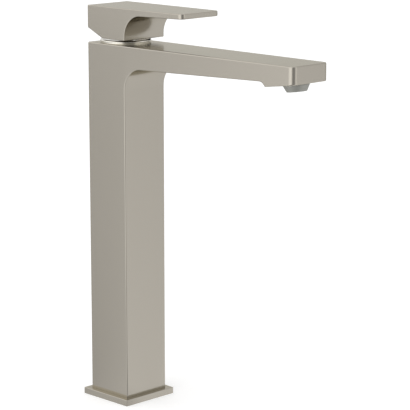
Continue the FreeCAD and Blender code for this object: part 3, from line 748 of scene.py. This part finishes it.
class MIXER_OT_body_shell(Operator):
    """Builds the hollow column with its spout"""

    bl_idname = "mixer.body_shell"
    bl_label = "Body Shell"

    def execute(self, context):
        sizes = context.scene.mixer_body
        body = combine(body_outside(sizes), body_hollows(sizes), "DIFFERENCE")
        finish_piece(smooth(body), FIXED, "body_casting", material("brushed_nickel"))
        return {"FINISHED"}


# ================================================================ deck plate
class MIXER_OT_deck_plate(Operator):
    """Builds the square plate that the column stands in"""

    bl_idname = "mixer.deck_plate"
    bl_label = "Deck Plate"

    def execute(self, context):
        sizes = context.scene.mixer_plate
        outline = square(plate_high.x)
        plate = round_edges(prism("deck_plate", outline, plate_low.z, plate_high.z), sizes.edge, plate_low.z)
        recess_z = plate_high.z - sizes.recess
        recess = prism("recess", square(HALF + sizes.clearance, MM), recess_z, plate_high.z + MM)
        bore = rod("bore", sizes.bore_radius, plate_low.z - MM, plate_high.z + MM)
        groove_inside = gasket_high.x - sizes.groove_width
        groove_outline = rectangle(groove_inside, gasket_high.x + FIT, plate_low.z - MM, gasket_high.z)
        combine(plate, [recess, bore, lathe("groove", groove_outline)], "DIFFERENCE")
        finish_piece(smooth(plate), FIXED, "base_plate", material("lever_nickel"))
        return {"FINISHED"}


# ================================================================ lever
def lever_outside(sizes):
    heel_y = HALF - sizes.heel_rise / math.tan(sizes.heel_slope)
    side = rounded(
        [
            (HALF, handle_high.z, 0),
            (-HALF, handle_high.z, 0),
            (-LEVER_REACH, handle_high.z, 0),
            (-LEVER_REACH, handle_high.z - sizes.tip_thickness, 0),
            (-HALF, handle_high.z - sizes.root_thickness, sizes.throat),
            (-HALF, handle_low.z, 0),
            (heel_y, handle_low.z, 0),
            (HALF, handle_low.z + sizes.heel_rise, 0),
        ]
    )
    outside = arm_block("lever_handle", side, sizes.tip_width / 2, LEVER_REACH, sizes.tip_corner)
    return round_edges(outside, sizes.edge, handle_low.z - MM)


class MIXER_OT_lever_handle(Operator):
    """Builds the hollow lever handle with its hub, boss and screw hole"""

    bl_idname = "mixer.lever_handle"
    bl_label = "Lever Handle"

    def execute(self, context):
        sizes = context.scene.mixer_lever
        turret_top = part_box("turret")[1].z
        ceiling = stem_high.z + sizes.roof_gap
        screw_z = (set_screw_low.z + set_screw_high.z) / 2
        screw_radius = (set_screw_high.z - set_screw_low.z) / 2
        inside = HALF - sizes.wall
        handle = lever_outside(sizes)
        hollow = prism("hollow", square(inside, 3 * MM), handle_low.z - HALF, ceiling)
        combine(handle, [hollow], "DIFFERENCE")
        hub = rod("hub", sizes.hub_radius, turret_top + sizes.hub_clearance, ceiling + MM)
        boss = along_y(rod("boss", sizes.boss_radius, 0.0, inside + MM), screw_z)
        web_outline = rectangle(-sizes.boss_radius, sizes.boss_radius, 0.0, inside + MM)
        web = prism("web", web_outline, screw_z, ceiling + MM)
        combine(handle, [hub, boss, web], "UNION")
        socket = prism("socket", square(stem_high.x + FIT), handle_low.z, stem_high.z + 3 * FIT)
        screw_hole = along_y(rod("screw_hole", screw_radius + FIT, 0.0, HALF + MM, steps=48), screw_z)
        cap_hole = along_y(rod("cap_hole", cap_high.x + 3 * FIT, cap_low.y, HALF + MM, steps=48), screw_z)
        combine(handle, [socket, screw_hole, cap_hole], "DIFFERENCE")
        finish_piece(smooth(handle), LEVER, "handle", material("lever_nickel"))
        return {"FINISHED"}


class MIXER_OT_screw_cap(Operator):
    """Builds the domed plug that hides the set screw"""

    bl_idname = "mixer.screw_cap"
    bl_label = "Screw Cap"

    def execute(self, context):
        radius = cap_high.x
        depth = cap_high.y
        foot = cap_low.y
        profile = rounded([(0, foot, 0), (radius, foot, 0), (radius, depth, 0.4 * MM), (0, depth, 0)])
        cap = along_y(lathe("lever_screw_cap", profile, 48), (cap_low.z + cap_high.z) / 2)
        finish_piece(smooth(cap), LEVER, "screw_cap", material("lever_nickel"))
        return {"FINISHED"}


# ================================================================ trim ring
class MIXER_OT_trim_ring(Operator):
    """Builds the polished ring between the column and the handle"""

    bl_idname = "mixer.trim_ring"
    bl_label = "Trim Ring"

    def execute(self, context):
        sizes = context.scene.mixer_ring
        radius = ring_high.x
        inner = radius - sizes.gap_depth
        skirt = radius - sizes.skirt_inset
        foot = body_high.z
        edge = foot + sizes.gap_height
        top = ring_high.z + sizes.rise
        profile = rounded(
            [
                (sizes.neck, ring_low.z, 0),
                (skirt, ring_low.z, 0.2 * MM),
                (skirt, foot, 0),
                (inner, foot, 0),
                (inner, edge, 0),
                (radius, edge, sizes.foot_round),
                (radius, top, sizes.top_round),
                (sizes.mouth, top, 0.3 * MM),
                (sizes.mouth, top - sizes.lip, 0),
                (sizes.neck, top - sizes.lip, 0),
            ]
        )
        ring = lathe("polished_trim_ring", profile, 144)
        finish_piece(smooth(ring), FIXED, "trim_ring", material("polished_nickel"))
        return {"FINISHED"}


# ================================================================ aerator
class MIXER_OT_nozzle(Operator):
    """Builds the conical nozzle under the spout's tip"""

    bl_idname = "mixer.nozzle"
    bl_label = "Nozzle"

    def execute(self, context):
        sizes = context.scene.mixer_nozzle
        screen_z = sizes.outlet_lip - sizes.drop
        profile = rounded(
            [
                (sizes.bore_radius, screen_z, 0),
                (sizes.outlet_radius, screen_z, 0.1 * MM),
                (sizes.outlet_radius, -sizes.drop, sizes.mouth_round / 2),
                (sizes.mouth_radius, -sizes.drop, sizes.mouth_round),
                (sizes.skirt_radius, -sizes.lip_height, 0.4 * MM),
                (sizes.skirt_radius, 0, 0.12 * MM),
                (sizes.thread_radius, 0, 0),
                (sizes.thread_radius, sizes.thread_length, 0.3 * MM),
                (sizes.bore_radius, sizes.thread_length, 0),
            ]
        )
        nozzle = lathe("aerator_nozzle", profile, 128)
        nozzle.data.transform(nose_place())
        finish_piece(smooth(nozzle), FIXED, "aerator_housing", material("nozzle_nickel"))
        return {"FINISHED"}


def close_tree(tree, geometry, given, result):
    """Ends a geometry tree in Realize Instances and Set Material."""
    realize = place_node(tree, "GeometryNodeRealizeInstances", {0: geometry})
    values = {"Geometry": realize.outputs[0], "Material": given.outputs["Material"]}
    tree.links.new(place_node(tree, "GeometryNodeSetMaterial", values).outputs[0], result.inputs[0])


def perforated_disc_tree():
    """Round plate with holes on a triangular grid."""
    inputs = [
        ("Geometry", GEOMETRY, None),
        ("Radius", FLOAT, 0.006),
        ("Thickness", FLOAT, 0.0008),
        ("Hole Radius", FLOAT, 0.0006),
        ("Pitch", FLOAT, 0.0016),
        ("Border", FLOAT, 0.0008),
        ("Rows", "NodeSocketInt", 11),
        ("Material", "NodeSocketMaterial", None),
    ]
    tree, given, result = node_group("GeometryNodeTree", "Perforated Disc", inputs, [("Geometry", GEOMETRY)])
    radius, thickness, hole_radius, pitch, border, rows = given.outputs[1:7]
    width = math_node(tree, "MULTIPLY", math_node(tree, "SUBTRACT", rows, 1.0), pitch)
    height = math_node(tree, "MULTIPLY", width, math.sin(math.radians(60)))
    values = {"Size X": width, "Size Y": height, "Vertices X": rows, "Vertices Y": rows}
    grid = place_node(tree, "GeometryNodeMeshGrid", values)
    # Every second row moves half a pitch sideways.
    index = tree.nodes.new("GeometryNodeInputIndex").outputs[0]
    odd = math_node(tree, "MODULO", math_node(tree, "MODULO", index, rows), 2.0)
    shift = combined(tree, math_node(tree, "MULTIPLY", odd, math_node(tree, "MULTIPLY", pitch, 0.5)))
    values = {"Geometry": grid.outputs["Mesh"], "Offset": shift}
    staggered = place_node(tree, "GeometryNodeSetPosition", values)
    position = tree.nodes.new("GeometryNodeInputPosition").outputs[0]
    distance = place_node(tree, "ShaderNodeVectorMath", {0: position}, operation="LENGTH").outputs["Value"]
    edge = math_node(tree, "SUBTRACT", math_node(tree, "SUBTRACT", radius, border), hole_radius)
    outside = math_node(tree, "GREATER_THAN", distance, edge)
    values = {"Geometry": staggered.outputs[0], "Selection": outside}
    kept = place_node(tree, "GeometryNodeDeleteGeometry", values)
    depth = math_node(tree, "MULTIPLY", thickness, 3.0)
    values = {"Vertices": 18, "Radius": hole_radius, "Depth": depth}
    drill = place_node(tree, "GeometryNodeMeshCylinder", values)
    values = {"Points": kept.outputs[0], "Instance": drill.outputs["Mesh"]}
    copies = place_node(tree, "GeometryNodeInstanceOnPoints", values)
    holes = place_node(tree, "GeometryNodeRealizeInstances", {0: copies.outputs[0]})
    values = {"Vertices": 96, "Radius": radius, "Depth": thickness}
    plate = place_node(tree, "GeometryNodeMeshCylinder", values)
    values = {"Mesh 1": plate.outputs["Mesh"], "Mesh 2": holes.outputs[0]}
    cut = place_node(tree, "GeometryNodeMeshBoolean", values, operation="DIFFERENCE")
    close_tree(tree, cut.outputs["Mesh"], given, result)
    return tree


def copies_tree():
    """Copies of one piece, one at each point of the host mesh."""
    inputs = [
        ("Geometry", GEOMETRY, None),
        ("Piece", "NodeSocketObject", None),
        ("Material", "NodeSocketMaterial", None),
    ]
    tree, given, result = node_group("GeometryNodeTree", "Copies At Points", inputs, [("Geometry", GEOMETRY)])
    info = place_node(tree, "GeometryNodeObjectInfo", {"Object": given.outputs["Piece"]})
    values = {"Points": given.outputs["Geometry"], "Instance": info.outputs["Geometry"]}
    copies = place_node(tree, "GeometryNodeInstanceOnPoints", values)
    close_tree(tree, copies.outputs[0], given, result)
    return tree


def grow(host, tree, values):
    """Runs a geometry tree on a host piece with values by input name, and settles it to plain mesh."""
    modifier = host.modifiers.new(tree.name, "NODES")
    modifier.node_group = tree
    names = {item.name: item.identifier for item in tree.interface.items_tree if item.in_out == "INPUT"}
    for label, value in values.items():
        modifier[names[label]] = value
    return settle(host)


def point_host(name, points):
    """Mesh of loose points for copies to stand on."""
    mesh = bpy.data.meshes.new(name)
    mesh.from_pydata([tuple(p) for p in points], [], [])
    host = bpy.data.objects.new(name, mesh)
    bpy.context.scene.collection.objects.link(host)
    return host


def repeat(name, model, points, node, body, slot):
    """Stands a copy of a model at each point as one piece, in place of a node."""
    tree = bpy.data.node_groups.get("Copies At Points") or copies_tree()
    smooth(model)
    piece = grow(point_host(name, points), tree, {"Piece": model, "Material": material(slot)})
    bpy.data.objects.remove(model)
    return finish_piece(piece, body, node, material(slot))


class MIXER_OT_screen(Operator):
    """Builds the perforated screen in the nozzle's mouth"""

    bl_idname = "mixer.screen"
    bl_label = "Aerator Screen"

    def execute(self, context):
        sizes = context.scene.mixer_nozzle
        host = point_host("aerator_outlet_screen", [])
        values = {
            "Radius": sizes.bore_radius - FIT,
            "Thickness": sizes.screen_thickness,
            "Hole Radius": sizes.hole_radius,
            "Pitch": sizes.hole_pitch,
            "Border": sizes.bore_radius - sizes.outlet_radius,
            "Material": material("steel"),
        }
        screen = grow(host, perforated_disc_tree(), values)
        middle = sizes.outlet_lip - sizes.drop + sizes.screen_thickness / 2
        screen.data.transform(nose_place() @ Matrix.Translation((0, 0, middle)))
        finish_piece(smooth(screen), FIXED, "aerator_screen", material("steel"))
        return {"FINISHED"}


# ================================================================ repeated small pieces
SCREW_HEAD_RADIUS = 3.5 * MM


def cap_screw():
    """One socket-head screw, standing on the plane of its head with the shank up."""
    low = screws_low.z
    shank_radius = 2.0 * MM
    head_top = low + 4.0 * MM
    pitch = 0.7 * MM
    key_radius = 1.73 * MM
    head = [(0, low, 0), (SCREW_HEAD_RADIUS, low, 0.3 * MM), (SCREW_HEAD_RADIUS, head_top, 0)]
    shank = [(shank_radius, head_top, 0)]
    for k in range(1, int((screws_high.z - head_top) / pitch)):
        z = head_top + pitch * k
        shank += [(shank_radius - pitch / 2, z - pitch / 2, 0), (shank_radius, z, 0)]
    end = [(shank_radius - 0.5 * MM, screws_high.z, 0), (0, screws_high.z, 0)]
    screw = lathe("screw_model", rounded(head + shank + end), 32)
    turns = [math.pi * k / 3 for k in range(6)]
    hexagon = [(key_radius * math.cos(turn), key_radius * math.sin(turn)) for turn in turns]
    return combine(screw, [prism("socket", hexagon, low - MM, low + 2.0 * MM)], "DIFFERENCE")


class MIXER_OT_block_screws(Operator):
    """Stands the four screws of the inlet block in their places"""

    bl_idname = "mixer.block_screws"
    bl_label = "Block Screws"

    def execute(self, context):
        reach = screws_high.x - SCREW_HEAD_RADIUS
        points = [(sx * reach, sy * reach, 0) for sx in (-1, 1) for sy in (-1, 1)]
        repeat("inlet_block_screws", cap_screw(), points, "block_screws", FIXED, "steel")
        return {"FINISHED"}


def o_ring(outer_radius, section):
    """One O-ring that lies on z = 0."""
    turns = [2 * math.pi * k / 16 for k in range(16)]
    middle = outer_radius - section / 2
    profile = [(middle + section / 2 * math.cos(a), section / 2 * (1 + math.sin(a))) for a in turns]
    return lathe("o_ring_model", profile, 64)


SEAL_SECTIONS = {"riser_seals": 1.4 * MM, "port_seals": 1.5 * MM, "disc_seals": 1.0 * MM}


class MIXER_OT_seals(Operator):
    """Lays the O-rings on the riser tubes and in the cartridge's foot"""

    bl_idname = "mixer.seals"
    bl_label = "O-Rings"

    def execute(self, context):
        for node, section in SEAL_SECTIONS.items():
            name = node.replace("seals", "o_rings")
            low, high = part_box(node)
            radius = (high.y - low.y) / 2
            x = high.x - radius
            y = (low.y + high.y) / 2
            levels = sorted({round(low.z, 6), round(high.z - section, 6)})
            points = [(side * x, y, z) for side in (-1, 1) for z in levels]
            repeat(name, o_ring(radius, section), points, node, FIXED, "black_rubber")
        return {"FINISHED"}


# ================================================================ finishes of the construction pieces
KEPT_NODES = {
    "base_gasket": "black_rubber",
    "inlet_block": "brass",
    "hot_riser": "copper",
    "cold_riser": "copper",
    "cartridge_manifold": "white_plastic",
    "fixed_disc": "ceramic",
    "moving_disc": "ceramic",
    "disc_carrier": "white_plastic",
    "cartridge_shell": "white_plastic",
    "shell_seal": "black_rubber",
    "turret": "white_plastic",
    "stem_pin": "steel",
    "stem": "steel",
    "cartridge_nut": "brass",
    "limit_ring": "red_plastic",
    "trim_seal": "black_rubber",
    "set_screw": "steel",
    "aerator_washer": "black_rubber",
    "flow_regulator": "grey_plastic",
    "aerator_core": "grey_plastic",
}


class MIXER_OT_inner_finishes(Operator):
    """Gives the pieces that keep their construction mesh their finish"""

    bl_idname = "mixer.inner_finishes"
    bl_label = "Inner Finishes"

    def execute(self, context):
        for node, slot in KEPT_NODES.items():
            for material_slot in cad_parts[node].material_slots:
                material_slot.material = material(slot)
        return {"FINISHED"}


# ================================================================ studio
# Light levels round the object as its metal mirrors them: (degrees from the front, wall, floor far out,
# floor near the object, floor right at its foot). The walls light the world. The three floor columns are
# painted light and shade that the floor glows with only for reflections, in place of its own lighting. The
# left is brightest, a narrower bright side is at the front right, and a dim stretch lies between them.
ROOM_LIGHT = (
    (-180, 0.85, 0.65, 0.65, 0.72),
    (-155, 0.95, 0.65, 0.62, 0.72),
    (-140, 1.40, 0.66, 0.60, 0.72),
    (-128, 1.10, 0.95, 0.65, 0.72),
    (-115, 1.10, 1.15, 0.70, 0.72),
    (-95, 1.30, 1.45, 0.80, 0.72),
    (-62, 1.30, 1.45, 0.80, 0.72),
    (-48, 0.45, 0.50, 0.30, 0.80),
    (-30, 0.32, 0.40, 0.15, 0.92),
    (-20, 0.30, 0.35, 0.35, 0.92),
    (-8, 0.35, 0.45, 0.75, 0.92),
    (12, 1.00, 1.20, 0.90, 0.92),
    (35, 0.85, 0.90, 0.90, 0.92),
    (60, 0.72, 0.72, 1.00, 0.92),
    (100, 0.60, 0.60, 1.00, 0.92),
    (135, 0.80, 0.45, 0.70, 0.72),
    (160, 0.80, 0.50, 0.65, 0.72),
    (180, 0.85, 0.65, 0.65, 0.72),
)


def level_by_direction(tree, split, column):
    """Level from one column of the room's light, by the direction of a separated position or direction."""
    towards_front = math_node(tree, "MULTIPLY", split.outputs["Y"], -1.0)
    turn = math_node(tree, "ARCTAN2", split.outputs["X"], towards_front)
    share = math_node(tree, "ADD", math_node(tree, "DIVIDE", turn, 2 * math.pi), 0.5)
    ramp = place_node(tree, "ShaderNodeValToRGB", {"Fac": share})
    brightest = max(row[column] for row in ROOM_LIGHT)
    elements = ramp.color_ramp.elements
    while len(elements) < len(ROOM_LIGHT):
        elements.new(0.5)
    for element, row in zip(elements, ROOM_LIGHT):
        element.position = row[0] / 360 + 0.5
        element.color = (*[row[column] / brightest] * 3, 1.0)
    return math_node(tree, "MULTIPLY", ramp.outputs["Color"], brightest)


def floor_material(sizes):
    """Pale matt floor: white to the camera with a soft shadow; for reflections it glows with painted light
    and shade from the room's table instead of being lit.
    """
    floor = bpy.data.materials.new("studio floor")
    floor.use_nodes = True
    tree = floor.node_tree
    shader = tree.nodes["Principled BSDF"]
    shader.inputs["Roughness"].default_value = 0.9
    shader.inputs["Specular IOR Level"].default_value = 0.0
    shader.inputs["Emission Color"].default_value = (1.0, 1.0, 1.0, 1.0)
    split = separated(tree, tree.nodes.new("ShaderNodeTexCoord").outputs["Object"])
    far, near, foot = [level_by_direction(tree, split, column) for column in (2, 3, 4)]
    radius = distance_from_axis(tree, split)
    is_near = math_node(tree, "EXPONENT", math_node(tree, "DIVIDE", radius, -sizes.near_reach))
    steep = math_node(tree, "POWER", math_node(tree, "DIVIDE", radius, sizes.foot_reach), 4.0)
    is_foot = math_node(tree, "EXPONENT", math_node(tree, "MULTIPLY", steep, -1.0))
    # Painted light and shade on the floor, seen only in the metal: levels by direction, darker or brighter
    # near the foot as the table gives them.
    painted_floor_light = blend(tree, is_foot, blend(tree, is_near, far, near), foot)
    path = tree.nodes.new("ShaderNodeLightPath")
    seen = math_node(tree, "MULTIPLY", path.outputs["Is Camera Ray"], sizes.floor_glow)
    glossy = math_node(tree, "MULTIPLY", path.outputs["Is Glossy Ray"], painted_floor_light)
    tree.links.new(math_node(tree, "ADD", seen, glossy), shader.inputs["Emission Strength"])
    matt = blend(tree, path.outputs["Is Glossy Ray"], sizes.floor_albedo, 0.0)
    tree.links.new(matt, shader.inputs["Base Color"])
    return floor


def room_world(sizes):
    """Soft room that changes brightness with direction, and is plain white to the camera."""
    world = bpy.data.worlds.new("studio room")
    bpy.context.scene.world = world
    world.use_nodes = True
    tree = world.node_tree
    split = separated(tree, tree.nodes.new("ShaderNodeTexCoord").outputs["Generated"])
    walls = level_by_direction(tree, split, 1)
    rise = {
        "Value": split.outputs["Z"],
        "From Min": math.sin(sizes.ceiling_start),
        "From Max": math.sin(sizes.ceiling_full),
    }
    height = place_node(tree, "ShaderNodeMapRange", rise, interpolation_type="SMOOTHSTEP")
    room = blend(tree, height.outputs["Result"], walls, sizes.ceiling_level)
    camera = tree.nodes.new("ShaderNodeLightPath").outputs["Is Camera Ray"]
    white = blend(tree, camera, room, 1.0)
    background = tree.nodes["Background"]
    background.inputs["Color"].default_value = (1.0, 1.0, 1.0, 1.0)
    tree.links.new(white, background.inputs["Strength"])


def photo_camera(sizes):
    """Camera that stands and looks as the photograph's did."""
    turn, tilt = sizes.camera_turn, sizes.camera_tilt
    level = math.cos(tilt)
    back = Vector((math.sin(turn) * level, -math.cos(turn) * level, math.sin(tilt)))
    lens = bpy.data.cameras.new("photo camera")
    lens.lens = sizes.camera_lens
    lens.sensor_width = 36.0
    camera = bpy.data.objects.new("photo camera", lens)
    bpy.context.scene.collection.objects.link(camera)
    camera.location = Vector(sizes.aim) + back * sizes.camera_distance
    camera.rotation_euler = back.to_track_quat("Z", "Y").to_euler()
    return camera


class MIXER_OT_studio(Operator):
    """Builds the floor, the light and the camera"""

    bl_idname = "mixer.studio"
    bl_label = "Studio"

    def execute(self, context):
        sizes = context.scene.mixer_studio
        bm = bmesh.new()
        bmesh.ops.create_circle(bm, cap_ends=True, segments=96, radius=sizes.floor_radius)
        floor = new_piece("studio_floor", bm)
        floor.data.materials.append(floor_material(sizes))
        floor.location.z = -0.01 * MM
        room_world(sizes)
        context.scene.camera = photo_camera(sizes)
        context.scene.view_settings.view_transform = "Standard"
        return {"FINISHED"}


# ================================================================ panel and registration
PIECES = (
    MIXER_OT_body_shell,
    MIXER_OT_deck_plate,
    MIXER_OT_lever_handle,
    MIXER_OT_screw_cap,
    MIXER_OT_trim_ring,
    MIXER_OT_nozzle,
    MIXER_OT_screen,
    MIXER_OT_block_screws,
    MIXER_OT_seals,
    MIXER_OT_inner_finishes,
    MIXER_OT_studio,
)

SETTINGS = {
    "mixer_body": MixerBodySizes,
    "mixer_plate": MixerPlateSizes,
    "mixer_lever": MixerLeverSizes,
    "mixer_ring": MixerRingSizes,
    "mixer_nozzle": MixerNozzleSizes,
    "mixer_finishes": MixerFinishes,
    "mixer_studio": MixerStudio,
}


class MIXER_PT_sidebar(Panel):
    """Lists the mixer's pieces and settings"""

    bl_idname = "MIXER_PT_sidebar"
    bl_label = "Basin Mixer"
    bl_space_type = "VIEW_3D"
    bl_region_type = "UI"
    bl_category = "Mixer"

    def draw(self, context):
        for piece in PIECES:
            self.layout.operator(piece.bl_idname)
        for name, group in SETTINGS.items():
            box = self.layout.box()
            box.label(text=group.__doc__)
            for key in group.__annotations__:
                box.prop(getattr(context.scene, name), key)


def register():
    for group in SETTINGS.values():
        bpy.utils.register_class(group)
    for item in (*PIECES, MIXER_PT_sidebar):
        bpy.utils.register_class(item)
    for name, group in SETTINGS.items():
        setattr(bpy.types.Scene, name, PointerProperty(type=group))


def unregister():
    for name in SETTINGS:
        delattr(bpy.types.Scene, name)
    for item in (MIXER_PT_sidebar, *reversed(PIECES)):
        bpy.utils.unregister_class(item)
    for group in reversed(SETTINGS.values()):
        bpy.utils.unregister_class(group)


def main():
    register()
    for piece in PIECES:
        getattr(bpy.ops.mixer, piece.bl_idname.split(".")[1])()


if __name__ == "__main__":
    main()
